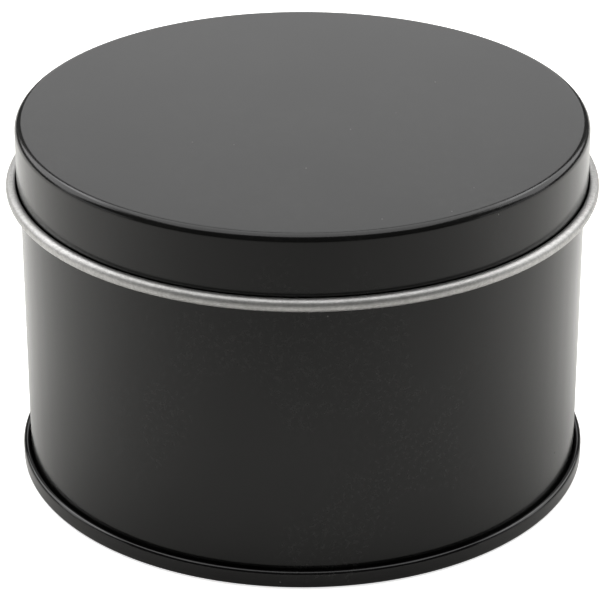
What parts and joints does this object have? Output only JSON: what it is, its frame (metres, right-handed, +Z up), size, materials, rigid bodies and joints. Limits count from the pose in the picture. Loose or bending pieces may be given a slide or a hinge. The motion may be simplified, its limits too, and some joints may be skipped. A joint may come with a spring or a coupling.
{
  "type": "candle tin",
  "caption": "Round slip-lid tin in black-coated tinplate, with a bare curled lid edge and a double-seamed base, for poured candles.",
  "frame": {"origin": "centre of the ring that the tin rests on, in the resting plane", "axes": "+Z up along the tin's axis, towards the lid; -Y is the front, and the body's side seam is at the back, on +Y"},
  "size_m": [0.08, 0.08, 0.0503],
  "materials": {
    "black_coating": "satin black coating on the outside of tinplate; the inside of the sheet and the lid's curled edge are bare bright tin",
    "bare_tinplate": "satin bare tin with fine rolled grain, on the side seam's fold inside the body",
    "seam_compound": "dull grey sealing compound"
  },
  "bodies": {
    "tin": {"body_wall": "black_coating", "base_end": "black_coating", "seam_compound": "seam_compound"},
    "lid": {"lid": "black_coating"}
  },
  "joints": [
    {"name": "lid_lift", "type": "slide", "parent": "tin", "child": "lid", "axis": [0, 0, 1], "range_m": [0, 0.04]}
  ]
}
